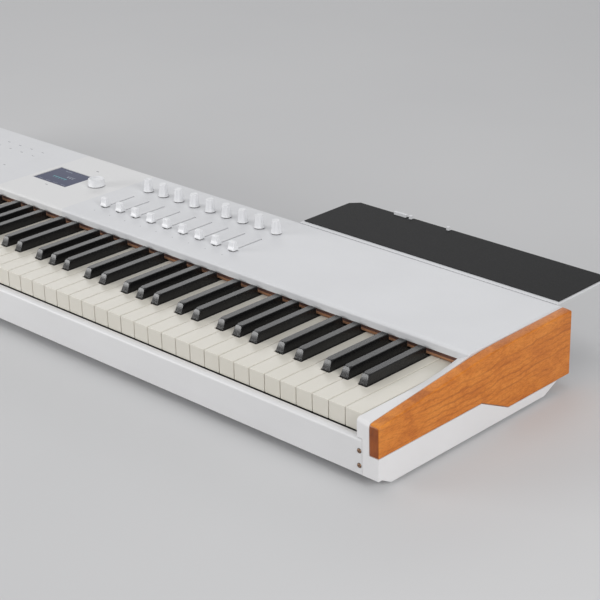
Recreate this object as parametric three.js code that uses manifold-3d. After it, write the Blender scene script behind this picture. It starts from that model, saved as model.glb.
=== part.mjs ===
// Full-size keyboard instrument: white case, wooden cheeks, 88 keys, knobs, faders and a rear shelf.
// Millimetres. X runs along the keys to the treble end, Y runs from the player to the back, Z is up.
// Shapes are drawn in the key frame: X 0 is mid-keyboard, Y 0 is at the white keys' front faces and
// Z 0 is at their tops.
import * as THREE from "three";
import { mergeVertices } from "three/addons/utils/BufferGeometryUtils.js";
import Module from "manifold-3d";

const wasm = await Module();
wasm.setup();

// ---------------------------------------------------------------- driving dimensions
const GAP = 0.3; // air kept between pieces that touch
const WHITE_PITCH = 23.5;
const WHITE_COUNT = 52;
const KEY_SPACING = 1.0; // air between two white keys
const WHITE_HEIGHT = 21.8;
const KEY_TAIL = 234; // rear end of a white key's lever
const BLACK_TAIL = 246;
const SHOULDER = 48.3; // where a white key narrows beside a black one
const BLACK_WIDTH = 12;
const BLACK_FRONT = 50;
const BLACK_REAR = 148;
const BLACK_HEIGHT = 11.5;
const BLACK_SIDE_AIR = 0.9;

const HALF_WIDTH = 643; // outer face of a wooden cheek
const CHEEK = 13.2; // thickness of a wooden cheek
const FRONT = -10.4; // front face of rail, end blocks and cheeks
const REAR = 319.5; // rear face of the case
const DECK_FRONT = 152; // front lip of the control deck
const DECK_TOP = 19.5;
const DECK_SHEET = 2;
const LIP_DROP = 11; // height of the deck's front lip
const CASE_BOTTOM = -72;
const REAR_BOTTOM = -61; // underside behind the rear chamfer
const REAR_SHEET = 1.5;
const RAIL_TOP = -22;
const RAIL_BOTTOM = -64.2;
const RAIL_DEPTH = 8.6;
const FOOT = 4;

const CONTROL_PITCH = 30.2; // knobs and faders share their columns
const CONTROL_COUNT = 9;
const CONTROL_FIRST = 222.5; // X of the column nearest the treble end
const KNOB_Y = 272.6;
const SLOT = { from: 190.3, to: 246.5, width: 2.6 };
const FADER = { rest: 196, travel: 45 };
const DISPLAY = { x: -155.5, y: 235.4, width: 70, depth: 51, recess: 0.8 };
const KNOB_HEIGHT = 17.8;
const ENCODER = { x: -91.8, y: 241.8, radius: 12, height: 10.2 };
const PADS = { x: -465, y: 236, pitch: 30, size: 26, side: 4 };
const BUTTON_ROWS = [214.4, 232.4, 265.5, 283.5];
const BUTTONS = { x: -313.6, pitch: 26.3, width: 20, depth: 11, columns: 5, rows: BUTTON_ROWS };
const WHEEL = { radius: 25, width: 11, y: 276, z: 4.5, places: { pitch_wheel: -586, mod_wheel: -558 } };

const SHELF = { from: 216, to: 620.4, front: REAR + 0.9, rear: 426, top: 18.6, sheet: 2.2, corner: 12 };
const SHELF_STOPS = { y: SHELF.rear - 3, radius: 2.6, pins: [101, 163], bar: [74, 94] };
const SOCKET_Z = -20;
const SOCKET_FACE = REAR - REAR_SHEET - 2 * GAP;
const JACKS = [-205, -180, -155];
const USB_X = -330;
const INLET_X = -372;
const SWITCH_X = -412;

const KEYS_HALF = (WHITE_PITCH * WHITE_COUNT) / 2;
const CHEEK_INNER = HALF_WIDTH - CHEEK;
const BLOCK_INNER = KEYS_HALF + 2; // inner face of an end block
const BLOCK_OUTER = CHEEK_INNER - GAP;
const LIP_BOTTOM = DECK_TOP - LIP_DROP;
const DECK_UNDER = DECK_TOP - DECK_SHEET;
const KEY_TOP_HEIGHT = FOOT - CASE_BOTTOM;
const MID_DEPTH = (FRONT + SHELF.rear) / 2;

// ---------------------------------------------------------------- materials
const finish = (color, roughness, metalness = 0) =>
  new THREE.MeshStandardMaterial({ color, roughness, metalness });
const MATERIALS = {
  case: finish(0xdcdddd, 0.55),
  rail: finish(0xd0d0d2, 0.5),
  ivory: finish(0xe6e2d6, 0.3),
  ebony: finish(0x18181a, 0.35),
  wood: finish(0xb9702f, 0.55),
  felt: finish(0x8a4a2c, 0.95),
  knob: finish(0xe4e4e4, 0.45),
  glass: finish(0x5a6470, 0.1),
  rubber: finish(0x1c1c1c, 0.9),
  pads: finish(0xeaeae8, 0.7),
  frame: finish(0x6d6f72, 0.5, 0.8),
  mat: finish(0x3b3b3c, 0.8),
  socket: finish(0x202224, 0.4),
};

// ---------------------------------------------------------------- solids
// A closed geometry as a solid that can be joined and cut.
function solid(geometry) {
  const bare = new THREE.BufferGeometry();
  bare.setAttribute("position", geometry.getAttribute("position"));
  bare.setIndex(geometry.index);
  const merged = mergeVertices(bare, 1e-4);
  const corners = merged.index.array;
  const triVerts = [];
  for (let i = 0; i < corners.length; i += 3) {
    const [a, b, c] = corners.slice(i, i + 3);
    if (a !== b && b !== c && c !== a) triVerts.push(a, b, c);
  }
  return new wasm.Manifold(
    new wasm.Mesh({
      numProp: 3,
      vertProperties: merged.attributes.position.array,
      triVerts: new Uint32Array(triVerts),
    }),
  );
}

const join = (solids) => solids.reduce((all, next) => all.add(next));
const cut = (body, tools) => body.subtract(join(tools));

function box(x0, x1, y0, y1, z0, z1) {
  const geometry = new THREE.BoxGeometry(x1 - x0, y1 - y0, z1 - z0);
  geometry.translate((x0 + x1) / 2, (y0 + y1) / 2, (z0 + z1) / 2);
  return solid(geometry);
}

const outline = (points) => new THREE.Shape(points.map(([u, v]) => new THREE.Vector2(u, v)));

// A plan outline of [x, y] points, standing from z0 to z1.
function prismZ(points, z0, z1) {
  const geometry = new THREE.ExtrudeGeometry(outline(points), { depth: z1 - z0, bevelEnabled: false });
  geometry.translate(0, 0, z0);
  return solid(geometry);
}

// A side outline of [y, z] points, running from x0 to x1.
function prismX(points, x0, x1) {
  const geometry = new THREE.ExtrudeGeometry(outline(points), { depth: x1 - x0, bevelEnabled: false });
  const turn = new THREE.Matrix4().makeBasis(
    new THREE.Vector3(0, 1, 0),
    new THREE.Vector3(0, 0, 1),
    new THREE.Vector3(1, 0, 0),
  );
  geometry.applyMatrix4(turn);
  geometry.translate(x0, 0, 0);
  return solid(geometry);
}

// A front outline of [x, z] points, running from y0 to y1.
function prismY(points, y0, y1) {
  const geometry = new THREE.ExtrudeGeometry(outline(points), { depth: y1 - y0, bevelEnabled: false });
  geometry.rotateX(Math.PI / 2);
  geometry.translate(0, y1, 0);
  return solid(geometry);
}

// Two side outlines with the same number of [y, z] points, joined by straight lines from x0 to x1.
function ruled(near, x0, far, x1) {
  const count = near.length;
  const place = (points, x) => points.flatMap(([y, z]) => [x, y, z]);
  const positions = [...place(near, x0), ...place(far, x1)];
  const index = [];
  for (let i = 0; i < count; i++) {
    const j = (i + 1) % count;
    index.push(i, j, count + j, i, count + j, count + i);
  }
  const cap = (points) => {
    const ring = points.map(([y, z]) => new THREE.Vector2(y, z));
    return THREE.ShapeUtils.triangulateShape(ring, []);
  };
  cap(near).forEach(([a, b, c]) => index.push(a, c, b));
  cap(far).forEach(([a, b, c]) => index.push(count + a, count + b, count + c));
  const geometry = new THREE.BufferGeometry();
  geometry.setAttribute("position", new THREE.Float32BufferAttribute(positions, 3));
  geometry.setIndex(index);
  return solid(geometry);
}

// A turned shape standing on Z, from [radius, z] points listed from the bottom up.
function turned(profile, segments = 16) {
  const points = profile.map(([r, z]) => new THREE.Vector2(r, z));
  const geometry = new THREE.LatheGeometry(points, segments);
  geometry.rotateX(Math.PI / 2);
  return solid(geometry);
}

const disc = (radius, z0, z1, segments = 16) =>
  turned([[0, z0], [radius, z0], [radius, z1], [0, z1]], segments);

// A round bar along Y, centred on x and z.
const barY = (radius, x, z, y0, y1, segments = 12) =>
  disc(radius, -y1, -y0, segments).rotate([90, 0, 0]).translate([x, 0, z]);

function piece(name, shape, material) {
  const { vertProperties, triVerts, numProp } = shape.getMesh();
  const geometry = new THREE.BufferGeometry();
  const count = vertProperties.length / numProp;
  const positions = new Float32Array(count * 3);
  for (let i = 0; i < count; i++) {
    positions.set(vertProperties.subarray(i * numProp, i * numProp + 3), i * 3);
  }
  geometry.setAttribute("position", new THREE.BufferAttribute(positions, 3));
  geometry.setIndex(new THREE.BufferAttribute(triVerts, 1));
  const mesh = new THREE.Mesh(geometry, MATERIALS[material]);
  mesh.name = name;
  return mesh;
}

const part = new THREE.Group();
const instrument = new THREE.Group(); // everything below is drawn in the key frame
instrument.position.set(0, -MID_DEPTH, KEY_TOP_HEIGHT);
part.add(instrument);

function place(mesh, x = 0, y = 0, z = 0) {
  mesh.position.set(x, y, z);
  instrument.add(mesh);
  return mesh;
}

const range = (count) => Array.from({ length: count }, (_, i) => i);

// ---------------------------------------------------------------- case outlines
const CORNER = 5; // front top corner of cheeks and end blocks
const RISE = { start: -1.5, slope: 0.1065, bend: 172, rearSlope: 0.008, softness: 20 };
const STRIP_LIFT = 2; // how far the white strip ends up above the cheek beside the deck's lip

// Height of a cheek's top edge at depth y: a ramp beside the keys that levels off beside the deck.
function cheekTop(y) {
  const ramp = RISE.start + RISE.slope * (y - FRONT);
  const knee = RISE.start + RISE.slope * (RISE.bend - FRONT);
  const level = knee + RISE.rearSlope * (y - RISE.bend);
  const blend = THREE.MathUtils.clamp((y - RISE.bend) / (2 * RISE.softness) + 0.5, 0, 1);
  const sag = (RISE.slope - RISE.rearSlope) * RISE.softness * blend * (1 - blend);
  return Math.min(ramp, level) - sag;
}

// Height of an end block's inner edge: level with the keys, then a curve up to the deck's lip.
function stripTop(y) {
  const climb = Math.max(0, (y - 60) / (DECK_FRONT - 60));
  return 0.5 + 8.2 * climb ** 2.2;
}

// Height of an end block's outer edge: just under the cheek's top, then up to the deck.
function stripOuter(y) {
  const climb = Math.max(0, (y - 108) / (DECK_FRONT - 108));
  return cheekTop(y) - 0.4 + STRIP_LIFT * climb ** 2;
}

// Lowers a top edge to round the front corner.
function rounded(y, z) {
  const reach = y - FRONT;
  if (reach >= CORNER) return z;
  return z - CORNER + Math.sqrt(CORNER ** 2 - (CORNER - reach) ** 2);
}

const CORNER_STEPS = [0, 0.7, 2.3, CORNER].map((step) => FRONT + step);

// ---------------------------------------------------------------- case
function woodCheek() {
  const depths = [...CORNER_STEPS, 60, 130, 152, 162, 172, 182, 192, 240, 314];
  const top = depths.map((y) => [y, rounded(y, cheekTop(y))]);
  const rearCorner = [[318.3, cheekTop(314) - 1.4], [REAR, cheekTop(314) - 5]];
  const bottom = [[REAR, -60.6], [206, -60.6], [158.5, -38.2], [FRONT, -38.2]];
  return prismX([...top, ...rearCorner, ...bottom].reverse(), CHEEK_INNER, HALF_WIDTH);
}

function endBlock() {
  const joint = DECK_FRONT - GAP;
  const depths = [...CORNER_STEPS, 60, 80, 100, 120, 136, joint];
  const low = LIP_BOTTOM - GAP;
  const high = DECK_UNDER - GAP;
  const back = DECK_FRONT + DECK_SHEET + GAP;
  const rest = [
    [joint, low], [back, low], [back, high], [REAR - GAP, high],
    [REAR - GAP, REAR_BOTTOM], [297, REAR_BOTTOM], [272, CASE_BOTTOM],
    [9, CASE_BOTTOM], [-5, RAIL_BOTTOM], [FRONT, RAIL_BOTTOM],
  ];
  const inner = [...depths.map((y) => [y, rounded(y, stripTop(y))]), ...rest];
  const outer = [...depths.map((y) => [y, rounded(y, stripOuter(y))]), ...rest];
  const slab = ruled(inner.reverse(), BLOCK_INNER, outer.reverse(), BLOCK_OUTER);
  const ledge = prismX(
    [
      [FRONT, RAIL_BOTTOM], [-5, RAIL_BOTTOM], [9, CASE_BOTTOM], [272, CASE_BOTTOM],
      [297, REAR_BOTTOM], [205.8, REAR_BOTTOM], [158.3, -38.6], [FRONT, -38.6],
    ],
    BLOCK_OUTER - 1,
    HALF_WIDTH - 0.6,
  );
  const seatRear = FRONT + RAIL_DEPTH + GAP;
  const railSeat = box(BLOCK_INNER - 1, KEYS_HALF + 9.1, FRONT - 1, seatRear, -80, RAIL_TOP + GAP);
  return cut(slab.add(ledge), [railSeat]);
}

function frontRail() {
  const inner = FRONT + RAIL_DEPTH;
  const profile = [
    [FRONT, RAIL_BOTTOM], [inner, RAIL_BOTTOM], [inner, RAIL_TOP],
    [-6.6, RAIL_TOP - 0.3], [-9.4, RAIL_TOP - 1.4], [FRONT, RAIL_TOP - 4],
  ];
  return prismX(profile, -KEYS_HALF - 8.8, KEYS_HALF + 8.8);
}

function bottomTray() {
  const sheet = 1.2;
  const end = REAR - REAR_SHEET - 2 * GAP;
  const under = [[-4, -66.2], [9, CASE_BOTTOM], [272, CASE_BOTTOM], [297, REAR_BOTTOM], [end, REAR_BOTTOM]];
  const over = under.map(([y, z]) => [y, z + sheet]).reverse();
  return prismX([...under, ...over], -BLOCK_INNER + GAP, BLOCK_INNER - GAP);
}

function keybedFrame() {
  const plate = box(-KEYS_HALF, KEYS_HALF, 14, 262, -70, -67.5);
  const pivotRail = box(-KEYS_HALF, KEYS_HALF, 208, 222, -68, -22.6);
  return plate.add(pivotRail);
}

function roundBar(x, y, radius, z0, z1) {
  return disc(radius, z0, z1, 12).translate([x, y, 0]);
}

function deckOpenings() {
  const through = [DECK_UNDER - 1, DECK_TOP + 1];
  const window = (x, y, width, depth) =>
    box(x - width / 2, x + width / 2, y - depth / 2, y + depth / 2, ...through);
  const tools = [window(DISPLAY.x, DISPLAY.y, DISPLAY.width + 0.8, DISPLAY.depth + 0.8)];
  tools.push(roundBar(ENCODER.x, ENCODER.y, 4.2, ...through));
  for (const i of range(CONTROL_COUNT)) {
    const x = CONTROL_FIRST - i * CONTROL_PITCH;
    tools.push(roundBar(x, KNOB_Y, 3.6, ...through));
    tools.push(window(x, (SLOT.from + SLOT.to) / 2, SLOT.width, SLOT.to - SLOT.from));
  }
  for (const [x, y] of padPlaces()) tools.push(window(x, y, PADS.size + 0.8, PADS.size + 0.8));
  for (const [x, y] of buttonPlaces()) tools.push(window(x, y, BUTTONS.width + 0.8, BUTTONS.depth + 0.8));
  for (const x of Object.values(WHEEL.places)) tools.push(window(x, WHEEL.y, WHEEL.width + 2, 46));
  return tools;
}

function controlDeck() {
  const back = DECK_FRONT + DECK_SHEET;
  const profile = [
    [DECK_FRONT, LIP_BOTTOM], [back, LIP_BOTTOM], [back, DECK_UNDER], [REAR, DECK_UNDER], [REAR, DECK_TOP],
    [back, DECK_TOP], [DECK_FRONT + 1.1, DECK_TOP - 0.7], [DECK_FRONT, DECK_TOP - 2.6],
  ];
  return cut(prismX(profile, -CHEEK_INNER + GAP, CHEEK_INNER - GAP), deckOpenings());
}

function rearPanel() {
  const half = BLOCK_INNER - GAP;
  const inner = REAR - GAP - REAR_SHEET;
  const plate = box(-half, half, inner, REAR - GAP, REAR_BOTTOM, DECK_UNDER - GAP);
  const hole = (x, width, height, z = SOCKET_Z) =>
    box(x - width / 2, x + width / 2, REAR - 4, REAR + 1, z - height / 2, z + height / 2);
  const tools = JACKS.map((x) => barY(5.6, x, SOCKET_Z, REAR - 4, REAR + 1));
  tools.push(barY(5.6, INLET_X, SOCKET_Z, REAR - 4, REAR + 1));
  tools.push(hole(USB_X, 13.2, 12.2));
  tools.push(hole(SWITCH_X, 13.8, 20.8));
  for (const x of tonguePlaces()) tools.push(hole(x, TONGUE.width + 1, TONGUE.sheet + 1, TONGUE.z));
  return cut(plate, tools);
}

// ---------------------------------------------------------------- keys
// The black key right of each white key in an octave from C, as its offset from the gap between them.
const BLACK_AFTER = { 0: -2.35, 1: 2.35, 3: -3.36, 4: 0, 5: 3.36 };
const stepOf = (white) => (white + 5) % 7; // 0 is C; the lowest white key is A
const gapX = (white) => -KEYS_HALF + (white + 1) * WHITE_PITCH; // gap at the right of a white key

// X of the black key at the right of a white key, or null where there is none.
function blackAfter(white) {
  const offset = BLACK_AFTER[stepOf(white)];
  if (offset === undefined || white < 0 || white >= WHITE_COUNT - 1) return null;
  return gapX(white) + offset;
}

// Plan outline of a white key, about its own middle.
function whiteOutline(white) {
  const middle = gapX(white) - WHITE_PITCH / 2;
  const half = (WHITE_PITCH - KEY_SPACING) / 2;
  const reach = BLACK_WIDTH / 2 + BLACK_SIDE_AIR;
  const before = blackAfter(white - 1);
  const after = blackAfter(white);
  const left = before === null ? -half : Math.max(-half, before + reach - middle);
  const right = after === null ? half : Math.min(half, after - reach - middle);
  const points = [[-half, 0], [half, 0]];
  if (right < half) points.push([half, SHOULDER]);
  if (right < half) points.push([right, SHOULDER]);
  points.push([right, KEY_TAIL], [left, KEY_TAIL]);
  if (left > -half) points.push([left, SHOULDER]);
  if (left > -half) points.push([-half, SHOULDER]);
  return points;
}

const whiteKey = (white) => prismZ(whiteOutline(white), -WHITE_HEIGHT, 0);

// A black key about its own middle: a sloping playing part, then a slim lever with a foot on the
// pivot rail.
function blackKey() {
  const half = BLACK_WIDTH / 2;
  const side = [
    [BLACK_FRONT, -12], [BLACK_REAR, -12], [BLACK_REAR, BLACK_HEIGHT],
    [BLACK_FRONT + 8, BLACK_HEIGHT], [BLACK_FRONT + 4, BLACK_HEIGHT - 3], [BLACK_FRONT, 0],
  ];
  const front = [
    [-half, -13], [half, -13], [half, 0],
    [half - 1.1, BLACK_HEIGHT + 1], [1.1 - half, BLACK_HEIGHT + 1], [-half, 0],
  ];
  const playing = prismX(side, -half, half).intersect(prismY(front, BLACK_FRONT - 1, BLACK_REAR + 1));
  const lever = [
    [BLACK_REAR - 4, -10.5], [209, -10.5], [209, -22], [221, -22], [221, -10.5],
    [BLACK_TAIL, -10.5], [BLACK_TAIL, -1], [BLACK_REAR - 4, -1],
  ];
  return playing.add(prismX(lever, -half + 1, half - 1));
}

const TREBLE_WHITES = 8; // the top octave and its last C are separate keys
const FIRST_TREBLE = WHITE_COUNT - TREBLE_WHITES;
const STEP_NAMES = ["C", "D", "E", "F", "G", "A", "B"];

function addTrebleKeys() {
  for (const white of range(WHITE_COUNT).slice(FIRST_TREBLE)) {
    const octave = white === WHITE_COUNT - 1 ? 8 : 7;
    const name = STEP_NAMES[stepOf(white)] + octave;
    place(piece("key_" + name, whiteKey(white), "ivory"), gapX(white) - WHITE_PITCH / 2);
    const x = blackAfter(white);
    const sharpName = STEP_NAMES[stepOf(white)] + "_sharp" + octave;
    if (x !== null) place(piece("key_" + sharpName, blackKey(), "ebony"), x);
  }
}

function addKeyBlocks() {
  const whites = range(FIRST_TREBLE);
  const whiteShapes = whites.map((white) =>
    whiteKey(white).translate([gapX(white) - WHITE_PITCH / 2, 0, 0]),
  );
  const right = gapX(FIRST_TREBLE - 1) - KEY_SPACING;
  whiteShapes.push(box(-KEYS_HALF + 1, right, 224, KEY_TAIL, -WHITE_HEIGHT, -14));
  place(piece("white_keys_low", join(whiteShapes), "ivory"));
  const blacks = whites.map(blackAfter).filter((x) => x !== null);
  const blackShapes = blacks.map((x) => blackKey().translate([x, 0, 0]));
  blackShapes.push(box(blacks[0] - 5, blacks.at(-1) + 5, KEY_TAIL + 2, BLACK_TAIL, -10.5, -1));
  place(piece("black_keys_low", join(blackShapes), "ebony"));
}

// ---------------------------------------------------------------- controls
const SHAFT_END = DECK_TOP - 7.5;

function knob() {
  const base = DECK_TOP + 0.5;
  const profile = [
    [0, SHAFT_END], [3, SHAFT_END], [3, base], [7.3, base], [7.3, base + 1.3], [6.7, base + 2.4],
    [5.4, base + KNOB_HEIGHT], [0, base + KNOB_HEIGHT],
  ];
  return turned(profile, 12);
}

function encoder() {
  const base = DECK_TOP + 0.5;
  const profile = [
    [0, SHAFT_END], [3.6, SHAFT_END], [3.6, base], [ENCODER.radius, base],
    [ENCODER.radius - 1.2, base + ENCODER.height - 0.8], [ENCODER.radius - 2, base + ENCODER.height],
    [0, base + ENCODER.height],
  ];
  return turned(profile, 20);
}

function faderCap() {
  const base = DECK_TOP + 0.5;
  const top = base + 12;
  const along = [
    [-4.6, base], [4.6, base], [4.6, base + 2], [2.9, base + 6],
    [2.7, top], [-2.7, top], [-2.9, base + 6], [-4.6, base + 2],
  ];
  const across = [
    [-5.5, base - 1], [5.5, base - 1], [5.5, base + 2],
    [4.8, top + 1], [-4.8, top + 1], [-5.5, base + 2],
  ];
  const cap = prismX(along, -6, 6).intersect(prismY(across, -6, 6));
  return cap.add(box(-0.8, 0.8, -2.6, 2.6, SHAFT_END, base + 1));
}

function addKnobsAndFaders() {
  for (const i of range(CONTROL_COUNT)) {
    const x = CONTROL_FIRST - (CONTROL_COUNT - 1 - i) * CONTROL_PITCH;
    place(piece("knob_" + (i + 1), knob(), "knob"), x, KNOB_Y);
    place(piece("fader_cap_" + (i + 1), faderCap(), "knob"), x, FADER.rest);
  }
}

function displayPanel() {
  const width = DISPLAY.width / 2;
  const depth = DISPLAY.depth / 2;
  return box(-width, width, -depth, depth, DECK_UNDER - 1, DECK_TOP - DISPLAY.recess);
}

// Centres of a grid of places, from its middle, its pitch and its number of columns and rows.
function padPlaces() {
  const middle = (PADS.side - 1) / 2;
  return range(PADS.side).flatMap((row) =>
    range(PADS.side).map((column) => [
      PADS.x + (column - middle) * PADS.pitch,
      PADS.y + (row - middle) * PADS.pitch,
    ]),
  );
}

function buttonPlaces() {
  const middle = (BUTTONS.columns - 1) / 2;
  return BUTTONS.rows.flatMap((y) =>
    range(BUTTONS.columns).map((column) => [BUTTONS.x + (column - middle) * BUTTONS.pitch, y]),
  );
}

// A soft sheet under the deck whose keys stand up through the deck's windows.
function keypad(places, width, depth, height) {
  const under = DECK_UNDER - GAP;
  const xs = places.map(([x]) => x);
  const ys = places.map(([, y]) => y);
  const sheet = box(
    Math.min(...xs) - width / 2 - 3, Math.max(...xs) + width / 2 + 3,
    Math.min(...ys) - depth / 2 - 3, Math.max(...ys) + depth / 2 + 3,
    under - 2.5, under,
  );
  const keys = places.map(([x, y]) =>
    box(x - width / 2, x + width / 2, y - depth / 2, y + depth / 2, under - 1, DECK_TOP + height),
  );
  return join([sheet, ...keys]);
}

const wheel = () =>
  disc(WHEEL.radius, -WHEEL.width / 2, WHEEL.width / 2, 24).rotate([0, 90, 0]);

// ---------------------------------------------------------------- shelf
const TONGUE = { width: 30, sheet: 2, z: -2, reach: 14 };
const BRACKET_FACE = SHELF.front + 2.4;
const tonguePlaces = () => {
  const middle = (SHELF.from + SHELF.to) / 2;
  return [middle - 120, middle + 120];
};

function shelfPlate() {
  const { from, to, rear, top, sheet, corner } = SHELF;
  const front = SHELF.front + 1.3;
  const plan = [
    [from, front], [to, front], [to, rear - corner], [to - corner, rear],
    [from + corner, rear], [from, rear - corner],
  ];
  const plate = prismZ(plan, top - sheet, top);
  const { y, radius, pins, bar } = SHELF_STOPS;
  const stops = pins.map((x) => roundBar(from + x, y, radius, top - 1, top + 5));
  stops.push(box(from + bar[0], from + bar[1], y - 2, y + 2, top - 1, top + 4.5));
  return join([plate, ...stops]);
}

// The mat reaches almost to the plate's edges and is notched round the stops.
function shelfMat() {
  const { from, to, front, rear, top, corner } = SHELF;
  const inset = 2;
  const end = rear - 1;
  const trim = corner - 1;
  const left = from + inset;
  const right = to - inset;
  const plan = [
    [left, front + 8], [right, front + 8], [right, end - trim],
    [right - trim, end], [left + trim, end], [left, end - trim],
  ];
  const { y, radius, pins, bar } = SHELF_STOPS;
  const clear = radius + 0.6;
  const notches = pins.map((x) => [from + x - clear, from + x + clear]);
  notches.push([from + bar[0] - 0.6, from + bar[1] + 0.6]);
  const cutters = notches.map(([low, high]) => box(low, high, y - clear, rear + 1, top, top + 2));
  return cut(prismZ(plan, top + GAP, top + 1.3), cutters);
}

// A flange on the rear panel with two tongues that hook into its slots, and two gussets under the plate.
function shelfBracket() {
  const under = SHELF.top - SHELF.sheet - GAP;
  const [left, right] = tonguePlaces();
  const flange = box(left - 25, right + 25, SHELF.front, BRACKET_FACE, -14, under);
  const tongues = [left, right].map((x) =>
    box(
      x - TONGUE.width / 2, x + TONGUE.width / 2, REAR - TONGUE.reach, BRACKET_FACE,
      TONGUE.z - TONGUE.sheet / 2, TONGUE.z + TONGUE.sheet / 2,
    ),
  );
  const root = BRACKET_FACE - 0.5;
  const side = [[root, -14], [root + 8.5, -14], [402, under - 3], [402, under], [root, under]];
  const gussets = [left, right].map((x) => prismX(side, x - 2, x + 2));
  return join([flange, ...tongues, ...gussets]);
}

// ---------------------------------------------------------------- sockets, switch and feet
// A socket with a round bore that opens to the rear: a block behind the panel and a boss through it.
function roundSocket(x, proud) {
  const block = box(x - 8, x + 8, REAR - 18, SOCKET_FACE, SOCKET_Z - 8, SOCKET_Z + 8);
  const boss = barY(5.2, x, SOCKET_Z, REAR - 4, REAR + proud);
  return cut(block.add(boss), [barY(3.4, x, SOCKET_Z, REAR - 14, REAR + 2)]);
}

// Jack sockets side by side on one narrow circuit board.
function jackSockets() {
  const board = box(JACKS[0] - 11, JACKS.at(-1) + 11, REAR - 20, REAR - 17.5, SOCKET_Z - 9, SOCKET_Z + 9);
  return join([board, ...JACKS.map((x) => roundSocket(x, 1))]);
}

function usbSocket() {
  const body = box(USB_X - 8, USB_X + 8, REAR - 20, SOCKET_FACE, SOCKET_Z - 8, SOCKET_Z + 8);
  const nose = box(USB_X - 6.2, USB_X + 6.2, REAR - 4, REAR + 0.4, SOCKET_Z - 5.7, SOCKET_Z + 5.7);
  const mouth = box(USB_X - 4.4, USB_X + 4.4, REAR - 16, REAR + 1, SOCKET_Z - 4, SOCKET_Z + 4);
  return cut(body.add(nose), [mouth]);
}

const SWITCH_TILT = THREE.MathUtils.degToRad(8);

function powerSwitch() {
  const side = [[-6, -9.6], [2.2, -9.6], [1, 0], [2.2, 9.6], [-6, 9.6]];
  return prismX(side, -6.4, 6.4);
}

function foot() {
  return turned([[0, -FOOT], [9.5, -FOOT], [11, -FOOT + 1.2], [11, -GAP], [0, -GAP]], 20);
}

function keyFelt() {
  const half = BLOCK_INNER - 0.4;
  return box(-half, half, DECK_FRONT + 1.2, DECK_FRONT + 4.2, 0.6, LIP_BOTTOM - GAP);
}

// ---------------------------------------------------------------- assembly
place(piece("bottom_tray", bottomTray(), "case"));
place(piece("rear_panel", rearPanel(), "case"));
place(piece("control_deck", controlDeck(), "case"));
place(piece("front_rail", frontRail(), "rail"));
place(piece("end_block_right", endBlock(), "case"));
place(piece("end_block_left", endBlock().mirror([1, 0, 0]), "case"));
place(piece("wood_cheek_right", woodCheek(), "wood"));
place(piece("wood_cheek_left", woodCheek().mirror([1, 0, 0]), "wood"));
place(piece("keybed_frame", keybedFrame(), "frame"));
place(piece("key_felt", keyFelt(), "felt"));
addKeyBlocks();
addTrebleKeys();
addKnobsAndFaders();
place(piece("display", displayPanel(), "glass"), DISPLAY.x, DISPLAY.y);
place(piece("main_encoder", encoder(), "knob"), ENCODER.x, ENCODER.y);
place(piece("pad_mat", keypad(padPlaces(), PADS.size, PADS.size, 1.8), "pads"));
place(piece("button_mat", keypad(buttonPlaces(), BUTTONS.width, BUTTONS.depth, 0.8), "pads"));
for (const [name, x] of Object.entries(WHEEL.places)) {
  place(piece(name, wheel(), "knob"), x, WHEEL.y, WHEEL.z);
}
place(piece("shelf_plate", shelfPlate(), "case"));
place(piece("shelf_mat", shelfMat(), "mat"));
place(piece("shelf_bracket", shelfBracket(), "case"));
place(piece("jack_sockets", jackSockets(), "socket"));
place(piece("usb_socket", usbSocket(), "frame"));
place(piece("power_inlet", roundSocket(INLET_X, 0.6), "socket"));
const rocker = place(piece("power_switch", powerSwitch(), "socket"), SWITCH_X, REAR - 0.8, SOCKET_Z);
rocker.rotation.x = SWITCH_TILT;
for (const [i, [x, y]] of [[-560, 30], [560, 30], [-560, 250], [560, 250]].entries()) {
  place(piece("foot_" + (i + 1), foot(), "rubber"), x, y, CASE_BOTTOM);
}

export default part;
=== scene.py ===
"""Finishes, keys, controls, camera and light for a white keyboard instrument with wooden cheeks."""

import math

import bmesh
import bpy
from mathutils import Matrix, Vector


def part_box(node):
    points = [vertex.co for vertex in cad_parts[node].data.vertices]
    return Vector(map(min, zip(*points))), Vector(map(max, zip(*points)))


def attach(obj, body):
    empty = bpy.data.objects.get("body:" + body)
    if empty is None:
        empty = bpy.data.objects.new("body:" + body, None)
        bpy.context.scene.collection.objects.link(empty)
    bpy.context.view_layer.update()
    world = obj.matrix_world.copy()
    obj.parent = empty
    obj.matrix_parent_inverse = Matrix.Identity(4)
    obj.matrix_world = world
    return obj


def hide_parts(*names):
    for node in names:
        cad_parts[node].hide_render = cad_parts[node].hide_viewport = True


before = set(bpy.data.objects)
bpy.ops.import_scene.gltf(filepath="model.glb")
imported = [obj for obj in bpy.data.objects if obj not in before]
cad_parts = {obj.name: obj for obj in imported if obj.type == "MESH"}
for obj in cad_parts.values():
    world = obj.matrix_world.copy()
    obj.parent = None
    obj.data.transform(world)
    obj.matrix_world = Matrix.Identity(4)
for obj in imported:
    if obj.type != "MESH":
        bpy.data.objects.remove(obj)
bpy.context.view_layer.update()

# ---------------------------------------------------------------- places, from the frame
MM = 0.001
last_key_low, last_key_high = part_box("key_C8")
KEY_FRONT = last_key_low.y  # front faces of the white keys
KEY_TOP = last_key_high.z
KEY_TAIL = (last_key_high.y - KEY_FRONT) / MM
KEY_HEIGHT = (KEY_TOP - last_key_low.z) / MM
KEYS_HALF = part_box("keybed_frame")[1].x / MM
WHITE_COUNT = 52
WHITE_PITCH = 2 * KEYS_HALF / WHITE_COUNT
SEPARATE_WHITES = 8  # the top octave and the last C ride on bodies of their own
EDGE_OUT = 0.02  # millimetres that a printed mark or a trim sits clear of its surface


def row(x, y, z):
    """A point in millimetres from the middle of the keys' top front edge, in metres in the row frame."""
    return Vector((x * MM, KEY_FRONT + y * MM, KEY_TOP + z * MM))


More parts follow.
